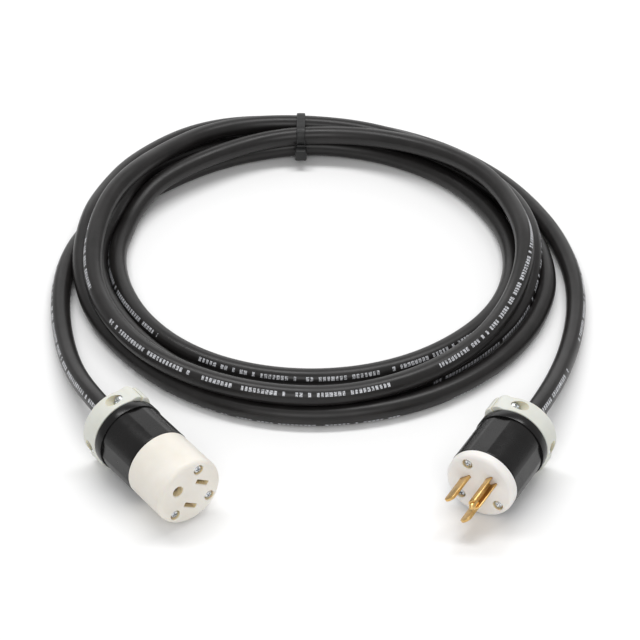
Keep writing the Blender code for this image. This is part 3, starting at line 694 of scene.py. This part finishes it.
def cord_route(rounds=140, held=7):
    """The planned route, with its turns pushed apart until they only touch."""
    stations = through_clamp("connector") + list(CONNECTOR_LEAD)
    for turn in (ARRIVAL, INNER_TURN, TOP_TURN, MIDDLE_TURN, OUTER_TURN, DEPARTURE):
        stations += [station(*s) for s in turn]
    stations += list(reversed(through_clamp("plug") + list(PLUG_LEAD)))
    plan = curve_through(stations, ROUTE_STEP)
    for _ in range(24):
        plan = eased(plan, 0.5, held)
    n = len(plan)
    clock = np.degrees(np.arctan2(plan[:, 0] - COIL_CENTRE[0], plan[:, 1] - COIL_CENTRE[1])) % 360
    off_tie = np.minimum((clock + 4) % 360, 360 - (clock + 4) % 360)
    floor = REST_R + TIE_LIFT * np.exp(-((off_tie / 9.0) ** 2))
    floor[:40] = REST_R
    floor[-40:] = REST_R
    ramp = np.clip((np.arange(n) - 10) / 30, 0, 1)
    ramp = np.minimum(ramp, ramp[::-1])
    free = np.minimum(1, ramp * 3)[:, None]
    lowest = floor * ramp + (1 - ramp) * plan[:, 2]
    line = plan.copy()
    for k in range(rounds):
        if k % 5 == 0:
            apart = ((line[:, None] - line[None]) ** 2).sum(-1)
            first, second = np.nonzero(np.triu(apart < (ROUTE_GAP + 3) ** 2, k=14))
        between = line[first] - line[second]
        distance = np.linalg.norm(between, axis=1)
        near = distance < ROUTE_GAP
        i, j, distance = first[near], second[near], distance[near]
        push = between[near] / distance[:, None] * ((ROUTE_GAP - distance) / 2)[:, None]
        total, count = np.zeros_like(line), np.zeros(n)
        np.add.at(total, i, push)
        np.add.at(total, j, -push)
        np.add.at(count, i, 1)
        np.add.at(count, j, 1)
        line = line + total / np.maximum(count, 1)[:, None] * 1.3 * free
        line[:, 2] = np.maximum(line[:, 2], lowest)
        moved = line - plan
        if k < rounds * 0.7:
            moved *= 0.96
        line = plan + eased(moved, 0.25) * free
        line[:, 2] = np.maximum(line[:, 2], lowest)
    return line


def cord_turns(line):
    """For every point of the route, how many degrees it has gone round the coil's centre."""
    angle = np.arctan2(line[:, 0] - COIL_CENTRE[0], line[:, 1] - COIL_CENTRE[1])
    return np.degrees(np.unwrap(angle)) + 360


def ring_frames(line):
    """Tangent, top and outward directions at every point."""
    tangent = np.gradient(line, axis=0)
    tangent /= np.linalg.norm(tangent, axis=1)[:, None]
    top = np.array((0, 0, 1.0)) - tangent[:, 2:3] * tangent
    top /= np.linalg.norm(top, axis=1)[:, None]
    return tangent, top, np.cross(top, tangent)


def cord_mesh(line):
    """The tube, its first vertex on the print line. U runs round, V along in metres."""
    _, top, outward = ring_frames(line)
    turn_of = cord_turns(line)
    keys = np.array([(360 * t + c, degrees) for t, c, degrees in PRINT_LINE])
    lie = np.radians(np.interp(turn_of, keys[:, 0], keys[:, 1]))
    for _ in range(30):
        lie = eased(lie, 0.5)
    n = len(line)
    along = np.arange(n) * np.linalg.norm(line[1] - line[0]) * MM
    turn = lie[:, None] + 2 * math.pi * np.arange(RING_SIDES)[None] / RING_SIDES
    swell = [CORD_R + 0.05 * noise.noise(Vector((a * 31.0, 0.5, 2.0))) for a in along]
    radius = np.array(swell)[:, None, None]
    side = np.cos(turn)[..., None] * top[:, None] + np.sin(turn)[..., None] * outward[:, None]
    verts = (line[:, None] + side * radius).reshape(-1, 3) * MM
    faces, uvs = [], []
    for i in range(n - 1):
        for j in range(RING_SIDES):
            k = (j + 1) % RING_SIDES
            a, b = i * RING_SIDES, (i + 1) * RING_SIDES
            faces.append((a + j, b + j, b + k, a + k))
            u0, u1 = j / RING_SIDES, (j + 1) / RING_SIDES
            uvs += [(u0, along[i]), (u0, along[i + 1]), (u1, along[i + 1]), (u1, along[i])]
    last = (n - 1) * RING_SIDES
    for cap in (range(RING_SIDES), reversed(range(last, last + RING_SIDES))):
        faces.append(tuple(cap))
        uvs += [(0.5, 0.0)] * RING_SIDES
    mesh = bpy.data.meshes.new("cord")
    mesh.from_pydata([tuple(v) for v in verts], [], faces)
    layer = mesh.uv_layers.new(name="run")
    layer.data.foreach_set("uv", np.array(uvs, np.float32).ravel())
    return smooth_by_angle(mesh, 50)


def make_cord():
    line = cord_route()
    obj = add_piece(
        "power_cord",
        cord_mesh(line),
        FINISHES["cord"],
        stands_for=("cord_coil", "connector_lead", "plug_lead"),
    )
    return obj, line


# ---------------------------------------------------------------- cable tie


def hull_of(points):
    """Convex hull, counter-clockwise."""
    points = sorted(set(points))
    chains = []
    for run in (points, points[::-1]):
        chain = []
        for p in run:
            while len(chain) > 1:
                (ax, ay), (bx, by) = chain[-2], chain[-1]
                if (bx - ax) * (p[1] - ay) - (by - ay) * (p[0] - ax) > 0:
                    break
                chain.pop()
            chain.append(p)
        chains += chain[:-1]
    return chains


def make_tie(line):
    """A strap drawn round the strands where they pass the tie, with its head inside."""
    cut = []
    for a, b in zip(line, line[1:]):
        if (a[0] - TIE_X) * (b[0] - TIE_X) <= 0 and a[1] > 100:
            t = (TIE_X - a[0]) / (b[0] - a[0])
            cut.append(a + (b - a) * t)
    around = []
    for _, y, z in cut:
        around += circle(float(y), float(z), CORD_R + 0.12, 48)
    loop = np.array([(y, z, 0.0) for y, z in hull_of(around)])
    loop = resampled(np.vstack([loop, loop[:1]]), 0.5)[:-1, :2]
    for _ in range(6):
        loop = 0.5 * loop + 0.25 * (np.roll(loop, 1, 0) + np.roll(loop, -1, 0))
    way = np.roll(loop, -1, 0) - np.roll(loop, 1, 0)
    way /= np.linalg.norm(way, axis=1)[:, None]
    outward = np.stack([way[:, 1], -way[:, 0]], 1)
    section = strap_section(STRAP_HALF, STRAP_THICK, 0.35)
    verts, faces = [], []
    n, m = len(loop), len(section)
    for i in range(n):
        rib = 0.10 if i % 3 == 0 else 0.0
        for x, d in section:
            on_rib = d > STRAP_THICK * 0.9 and abs(x) < STRAP_HALF - 0.8
            lift = d + (rib if on_rib else 0.0)
            y, z = loop[i] + outward[i] * (lift + 0.1)
            verts.append(((TIE_X + x) * MM, y * MM, z * MM))
    for i in range(n):
        k = (i + 1) % n
        for j in range(m):
            side = (j + 1) % m
            faces.append((i * m + j, i * m + side, k * m + side, k * m + j))
    strap = smooth_by_angle(mesh_from(verts, faces, "tie_strap"), 40)
    add_piece("tie_strap", strap, FINISHES["tie"], stands_for=("cable_tie",))

    inner = loop[:, 0].min()
    middle = float((loop[:, 1].min() + loop[:, 1].max()) / 2) - 2.2
    wide, tall, deep = TIE_HEAD
    body = prism(rounded_box(-wide, -tall, wide, tall, 1.1), 0, deep, 0.5, 3, 0.9)
    strap_way = prism(rounded_box(-2.6, -8, 2.6, 8, 0.2), 0.5, 2.1)
    body = combined(body, [strap_way])
    stub = prism(rounded_box(-2.3, -0.2, 2.3, 4.9, 0.3), 0.6, 1.9, 0.3)
    head = joined([body, stub])
    stand = Matrix(((1, 0, 0, 0), (0, 0, -1, 0), (0, 1, 0, 0), (0, 0, 0, 1)))
    place = Matrix.Translation(Vector((TIE_X, inner - 0.4, middle)) * MM)
    head = smooth_by_angle(turned(head, place @ stand), 35)
    add_piece("tie_head", head, FINISHES["tie"], stands_for=("cable_tie",))


def strap_section(half, thick, edge):
    """Section of the strap, counter-clockwise, as (across, out)."""
    return [
        (-half + edge, 0.0),
        (0.0, 0.0),
        (half - edge, 0.0),
        (half, edge),
        (half, thick - edge),
        (half - edge * 0.3, thick - edge * 0.3),
        (half - edge, thick),
        (half * 0.5, thick),
        (0.0, thick),
        (-half * 0.5, thick),
        (-half + edge, thick),
        (-half + edge * 0.3, thick - edge * 0.3),
        (-half, thick - edge),
        (-half, edge),
    ]


# ---------------------------------------------------------------- plug and connector


def assembly_places():
    turns = [math.radians(a) for a in ASSEMBLY_ANGLES]
    return [(ASSEMBLY_R * math.sin(t), ASSEMBLY_R * math.cos(t)) for t in turns]


def contact_places(name):
    inset_y = (GROUND_WIDTH - GROUND_WALL) / 2 if name == "plug" else 0.0
    return (
        ("hot", (-BLADE_X, BLADE_Y), (-1, 0)),
        ("neutral", (BLADE_X, BLADE_Y), (1, 0)),
        ("ground", (0.0, GROUND_Y - inset_y), (0, 1)),
    )


def block(x0, y0, z0, x1, y1, z1):
    return prism([(x0, y0), (x1, y0), (x1, y1), (x0, y1)], z0, z1)


def chamber(centre, way, back, front):
    (x, y), reach, inside, half = centre, CORE_R + 3, 1.5, 3.9
    if way[0]:
        ends = sorted((x - way[0] * inside, way[0] * reach))
        return block(ends[0], y - half, back - 2, ends[1], y + half, front)
    return block(-half, y - inside, back - 2, half, reach, front)


def mark_faces(mesh, faces, finish):
    """Gives the listed faces a second finish, which here is always a painted-shade copy of the
    nylon.
    """
    mesh.materials.append(finish)
    for index in faces:
        mesh.polygons[index].material_index = 1


def make_front(name, spec, where):
    """Nylon front with a rounded shoulder, sunk screws, and ways or slots for the contacts; painted
    shade colours its recesses.
    """
    end, back = spec["front_end"], spec["terminal"] - 5.0
    edge = SHOULDER[name]
    profile = [(0, 0), (6.0, 0), (11.0, 0)]
    for i in range(9):
        turn = math.radians(90 - 90 * i / 8)
        profile.append((FRONT_R - edge + edge * math.cos(turn), edge * (math.sin(turn) - 1)))
    profile += [(FRONT_R, -3.2), (FRONT_R, end), (CORE_R, end), (CORE_R, back), (0, back)]
    mesh = lathe(profile, 96)
    cuts = [chamber(c, w, back, spec["terminal"] + 4.2) for _, c, w in contact_places(name)]
    for x, y in assembly_places():
        cuts.append(flared(circle(x, y, ASSEMBLY_HEAD[0] + 0.4, 40), -ASSEMBLY_RECESS, 0, 0.35))
        cuts.append(prism(circle(x, y, ASSEMBLY_SHANK_R + SHANK_PLAY, 20), back - 1, -1))
    deep = spec["terminal"]
    if name == "plug":
        half_t, half_w = BLADE_THICK / 2 + CONTACT_PLAY, BLADE_WIDTH / 2 + CONTACT_PLAY
        for x in (-BLADE_X, BLADE_X):
            way = rounded_box(x - half_t, BLADE_Y - half_w, x + half_t, BLADE_Y + half_w, 0.2)
            cuts.append(flared(way, deep, 0, 0.1))
        way = [(px, GROUND_Y + py) for px, py in inset(channel_outline(), -CONTACT_PLAY)]
        cuts.append(flared(way, deep, 0, 0.1))
    else:
        half_x, half_y = SLOT_HALF
        for x in (-BLADE_X, BLADE_X):
            slot = rounded_box(x - half_x, BLADE_Y - half_y, x + half_x, BLADE_Y + half_y, 0.35)
            cuts.append(flared(slot, -MOUTH_DEPTH, 0, MOUTH_BEVEL))
            cuts.append(block(x - 2.2, BLADE_Y - 3.6, deep, x + 2.2, BLADE_Y + 3.6, -4))
        mouth = circle(0, GROUND_Y, GROUND_HOLE_R, 40)
        cuts.append(flared(mouth, -MOUTH_DEPTH, 0, MOUTH_BEVEL))
        cuts.append(block(-3.4, GROUND_Y - 3.8, deep, 3.4, GROUND_Y + 3.8, -4))
    mesh = combined(mesh, cuts)
    # Faces below the front's surface, inside its radius: the recess walls and floors that get the
    # painted shade.
    sunk = [
        face.index
        for face in mesh.polygons
        if face.center.z < -0.25 * MM and face.center.xy.length < (FRONT_R - 1.8) * MM
    ]
    mesh = smooth_by_angle(turned(mesh, where), 30)
    add_piece(
        name + "_face", mesh, FINISHES[name + "_face"], stands_for=(name + "_front",)
    )
    # The recess faces take the painted-shade copy of the nylon.
    mark_faces(mesh, sunk, FINISHES["nylon_deep"])


def make_shell(name, spec, where):
    """Black shell: a round collar, then four broad crowned sides with flats between them."""
    top, end = spec["front_end"] - 0.3, spec["shell_end"]
    back = end + COLLAR_LENGTH
    first = math.radians(spec["grip"])
    half = math.radians(FLAT_HALF)
    corner = GRIP_R - GRIP_CROWN
    flat = corner * math.cos(half)
    quarter = math.pi / 2

    def around(radius, angle):
        if not GRIP_BAND[0] <= radius <= GRIP_BAND[1]:
            return radius
        drop = GRIP_R - radius
        off = (angle - first + quarter / 2) % quarter - quarter / 2
        crown = GRIP_R - GRIP_CROWN * (off / (quarter / 2 - half)) ** 2
        side = quarter / 2 - abs(off)
        if side < half:
            crown = flat / math.cos(side)
        return crown - drop

    levels = [back + 0.02 + (top - 0.5 - back) * t for t in (0, 0.02, 0.3, 0.6, 0.9, 1.0)]
    profile = [(SHELL_INNER, top), (SHELL_INNER + 0.5, top)]
    profile += [(GRIP_R - 0.45, top), (GRIP_R - 0.13, top - 0.13), (GRIP_R - 0.001, top - 0.45)]
    profile += [(GRIP_R, z) for z in reversed(levels)]
    profile += [(SHELL_R - 0.05, back), (SHELL_R - 0.08, back - 0.09)]
    profile += [(SHELL_R, back - 0.3), (SHELL_R, end + 0.9), (SHELL_R - 0.09, end + 0.4)]
    profile += [(SHELL_R - 2.05, end), (HOLE_R + 0.3, end)]
    profile += [(HOLE_R, end + 0.3), (HOLE_R, end + REAR_WALL), (SHELL_INNER, end + REAR_WALL)]
    mesh = smooth_by_angle(turned(lathe(profile, 360, around), where), 30)
    add_piece(name + "_grip", mesh, FINISHES["shell"], stands_for=(name + "_shell",))


def jaw_outline():
    """Half of the clamp's section, with a rounded lobe at both ends."""
    split = CLAMP_SPLIT
    side = CLAMP_LOBE_X
    lobe = [(side - 0.4, split), (side, split + 0.4), (side, 2.6), (side - 0.35, 3.9)]
    lobe += [(side - 1.0, 4.8), (side - 1.9, 5.6), (side - 2.8, 6.6)]
    sweep = arc(CLAMP_R, 25, 155, 52)
    other = [(-x, y) for x, y in reversed(lobe)]
    bore = math.degrees(math.asin(split / HOLE_R))
    return [*lobe, *sweep, *other, *arc(HOLE_R, 180 - bore, bore, 24)]


def in_pocket(point):
    """True on the wall or floor of a screw's pocket, the faces given the painted shade."""
    reach = math.hypot(abs(point.x) - CLAMP_SCREW_X, point.z)
    return reach < CLAMP_POCKET_R + 0.3 and point.xy.length < CLAMP_R - 0.15


def make_clamp(name, spec, where):
    """Two jaws on the cord; the front one moves with its screws. Painted shade tints the jaws' screw
    pockets and holes.
    """
    middle = spec["shell_end"] - CLAMP_GAP - CLAMP_LENGTH / 2
    low, high = -CLAMP_LENGTH / 2, CLAMP_LENGTH / 2
    along_y = Matrix(((1, 0, 0, 0), (0, 0, 1, 0), (0, -1, 0, 0), (0, 0, 0, 1)))
    for label, turn, body in (
        ("front", Matrix.Identity(4), name + "_clamp_jaw"),
        ("back", Matrix.Rotation(math.pi, 4, "Z"), "cord_assembly"),
    ):
        mesh = prism(jaw_outline(), low, high, 1.5, 5, 0.5)
        cuts = []
        for x in (-CLAMP_SCREW_X, CLAMP_SCREW_X):
            hole = prism(circle(x, 0, CLAMP_SHANK_R + SHANK_PLAY, 20), -1, 15)
            cuts.append(turned(hole, along_y))
            if label == "front":
                pocket = prism(circle(x, 0, CLAMP_POCKET_R, 40), CLAMP_SEAT_Y - 0.3, 21)
                cuts.append(turned(pocket, along_y))
        mesh = combined(mesh, cuts)
        # Faces round the screw axes: pocket and hole walls that get the painted shade.
        sunk = [face.index for face in mesh.polygons if in_pocket(face.center / MM)]
        mesh = turned(mesh, where @ Matrix.Translation((0, 0, middle * MM)) @ turn)
        add_piece(
            "%s_jaw_%s" % (name, label),
            smooth_by_angle(mesh, 34),
            FINISHES["clamp"],
            body,
            stands_for=("%s_clamp_jaw_%s" % (name, label),),
        )
        # The pocket faces take the painted-shade copy of the clamp nylon.
        mark_faces(mesh, sunk, FINISHES["clamp_deep"])
    for label, x in (("left", -CLAMP_SCREW_X), ("right", CLAMP_SCREW_X)):
        screw = screw_mesh(CLAMP_HEAD, CLAMP_SHANK_R, CLAMP_SEAT_Y - CLAMP_SHANK_END, 20 + 3 * x)
        place = Matrix.Translation(Vector((x, CLAMP_SEAT_Y, middle)) * MM)
        mesh = smooth_by_angle(turned(screw, where @ place @ along_y), 30)
        node = "%s_clamp_screw_%s" % (name, label)
        add_piece(
            "%s_jaw_screw_%s" % (name, label), mesh, FINISHES["zinc"], node,
            stands_for=(node,),
        )


def screw_mesh(head, shank_r, length, turn=0.0):
    """Pan-head screw along Z with a cross recess; the underside of its head at z = 0."""
    r, h = head
    profile = [(0, h)]
    for i in range(1, 7):
        angle = math.radians(90 - 15 * i * 0.93)
        profile.append((r * math.cos(angle) ** 0.8, h * 0.42 + h * 0.58 * math.sin(angle)))
    profile += [(r, h * 0.42), (r, 0.15), (r - 0.15, 0), (shank_r, 0), (shank_r, -1.0)]
    z = -1.0
    while z > -length + 1.2:
        profile += [(shank_r - 0.32, z - THREAD_PITCH * 0.45), (shank_r, z - THREAD_PITCH)]
        z -= THREAD_PITCH
    profile += [(shank_r - 0.5, -length), (0, -length)]
    mesh = lathe(profile, 40)
    arm, wing = r * 0.30 / 2, r * 0.62
    cross = []
    for quarter in (0, 90):
        bar = flared(rounded_box(-wing, -arm, wing, arm, 0.12, 2), h - 1.25, h, 0.12)
        cross.append(turned(bar, Matrix.Rotation(math.radians(quarter + turn), 4, "Z")))
    return combined(mesh, cross)


def make_assembly_screws(name, spec, where):
    length = -ASSEMBLY_RECESS - (spec["shell_end"] + REAR_WALL + 1.2)
    for i, (x, y) in enumerate(assembly_places()):
        screw = screw_mesh(ASSEMBLY_HEAD, ASSEMBLY_SHANK_R, length, 33 + 50 * i)
        place = Matrix.Translation(Vector((x, y, -ASSEMBLY_RECESS + 0.3)) * MM)
        mesh = smooth_by_angle(turned(screw, where @ place), 30)
        add_piece(
            "%s_face_screw_%d" % (name, i + 1),
            mesh,
            FINISHES["zinc"],
            stands_for=("%s_assembly_screw_%d" % (name, i + 1),),
        )


def channel_outline():
    """Section of the ground pin: a trough with rounded walls, open on the ground side."""
    g, w = GROUND_WIDTH / 2, GROUND_WALL
    outer = [*arc(1.3, 180, 270, 5, -g + 1.3, -g + 1.3), *arc(1.3, 270, 360, 5, g - 1.3, -g + 1.3)]
    wall_r = arc(w / 2, 0, 180, 5, g - w / 2, g - w / 2)
    trough_r = arc(0.6, 0, -90, 4, g - w - 0.6, -g + w + 0.6)
    trough_l = arc(0.6, 270, 180, 4, -g + w + 0.6, -g + w + 0.6)
    wall_l = arc(w / 2, 0, 180, 5, -g + w / 2, g - w / 2)
    return [*outer, *wall_r, *trough_r, *trough_l, *wall_l]


def make_blades(spec, where):
    """Two flat blades with rounded noses, and the trough-shaped ground pin."""
    back = spec["terminal"] - 4.0
    half = BLADE_WIDTH / 2
    round_r = 2.2
    nose_arc = arc(round_r, 0, 180, 14, 0, BLADE_LENGTH - round_r)
    nose = [(x * half / round_r, z) for x, z in nose_arc]
    outline = [(-half, back), (half, back), *nose]
    on_edge = Matrix(((0, 0, 1, 0), (1, 0, 0, 0), (0, 1, 0, 0), (0, 0, 0, 1)))
    for label, x in (("hot", -BLADE_X), ("neutral", BLADE_X)):
        mesh = prism(outline, -BLADE_THICK / 2, BLADE_THICK / 2, 0.35, 3)
        mesh = turned(mesh, where @ Matrix.Translation(Vector((x, BLADE_Y, 0)) * MM) @ on_edge)
        add_piece(
            "plug_pin_" + label, smooth_by_angle(mesh, 30), FINISHES["brass"],
            stands_for=("plug_blade_" + label,),
        )
    g = GROUND_WIDTH / 2
    start = spec["terminal"] + 5.0
    body = prism(channel_outline(), start, GROUND_LENGTH - 2.6, 0.2, 2, 0.3)
    tip_r, tip_length = 1.75, 3.4
    dome = [(0, tip_length)]
    for i in range(1, 9):
        angle = math.radians(90 - 90 * i / 8)
        dome.append((tip_r * math.cos(angle), tip_length * math.sin(angle)))
    dome += [(tip_r, -1.6), (0, -1.6)]
    tip_place = Matrix.Translation(Vector((0, -g + 1.9, GROUND_LENGTH - tip_length)) * MM)
    tip = turned(lathe(dome, 32), tip_place)
    body = combined(body, [tip], "UNION")
    mesh = turned(body, where @ Matrix.Translation(Vector((0, GROUND_Y, 0)) * MM))
    add_piece(
        "plug_pin_ground", smooth_by_angle(mesh, 30), FINISHES["brass"],
        stands_for=("plug_ground_pin",),
    )


def make_device(name):
    spec = DEVICES[name]
    where = frame_of(spec)
    make_front(name, spec, where)
    make_shell(name, spec, where)
    make_clamp(name, spec, where)
    make_assembly_screws(name, spec, where)
    if name == "plug":
        make_blades(spec, where)


# ---------------------------------------------------------------- scene


def finish_of_node(node):
    for key, finish in (
        ("wire_end", "copper"),
        ("wire_hot", "wire_hot"),
        ("wire_neutral", "wire_neutral"),
        ("wire_ground", "wire_ground"),
        ("pressure_plate", "zinc"),
        ("connector_contact", "brass_inner"),
    ):
        if key in node:
            return FINISHES[finish]
    return FINISHES["brass"]


def dress_nodes():
    """The CAD parts that show as they are get a finish of their own."""
    for node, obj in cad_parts.items():
        if obj.hide_render:
            continue
        finish = finish_of_node(node)
        for place in obj.material_slots:
            place.material = finish


def make_camera():
    data = bpy.data.cameras.new("camera")
    data.lens = 127.1
    data.sensor_width = 36.0
    camera = bpy.data.objects.new("camera", data)
    scene.collection.objects.link(camera)
    eye, aim = Vector((1.0, -934.9, 726.5)) * MM, Vector((1.0, -5.0, 0.0)) * MM
    camera.location = eye
    camera.rotation_euler = (aim - eye).to_track_quat("-Z", "Y").to_euler()
    scene.camera = camera


def area_light(name, place, aim, size, energy):
    data = bpy.data.lights.new(name, "AREA")
    data.shape = "RECTANGLE"
    data.size, data.size_y = size
    data.energy = energy
    lamp = bpy.data.objects.new(name, data)
    scene.collection.objects.link(lamp)
    lamp.location = place
    lamp.rotation_euler = (Vector(aim) - Vector(place)).to_track_quat("-Z", "Y").to_euler()


def make_floor():
    half = 6.0
    mesh = bpy.data.meshes.new("floor")
    corners = [(-half, -half, 0), (half, -half, 0), (half, half, 0), (-half, half, 0)]
    mesh.from_pydata(corners, [], [(0, 1, 2, 3)])
    floor = bpy.data.objects.new("floor", mesh)
    scene.collection.objects.link(floor)
    finish = Finish("floor_paper", Roughness=0.9)
    tone = finish.ramp(finish.noise(3.0, 2.0), (0.3, (0.90, 0.90, 0.90)), (0.7, (0.92, 0.92, 0.92)))
    finish.set("Base Color", tone)
    mesh.materials.append(finish.material)


def make_light():
    area_light("overhead", (0.0, 0.35, 1.5), (0.0, 0.0, 0.0), (1.7, 0.32), 15.0)
    area_light("behind", (0.0, 1.9, 0.75), (0.0, 0.0, 0.05), (2.4, 1.1), 8.0)
    area_light("front", (0.0, -1.9, 1.6), (0.0, 0.0, 0.0), (1.6, 1.0), 15.0)
    world = bpy.data.worlds.new("studio")
    world.use_nodes = True
    sky = world.node_tree.nodes["Background"]
    sky.inputs["Color"].default_value = (1.0, 1.0, 1.0, 1.0)
    sky.inputs["Strength"].default_value = 0.50
    scene.world = world
    scene.view_settings.view_transform = "Standard"


make_camera()
make_finishes()
power_cord, cord_line = make_cord()
make_tie(cord_line)
make_device("plug")
make_device("connector")
dress_nodes()
make_floor()
make_light()

[[float(v) * MM for v in p] for p in cord_line]
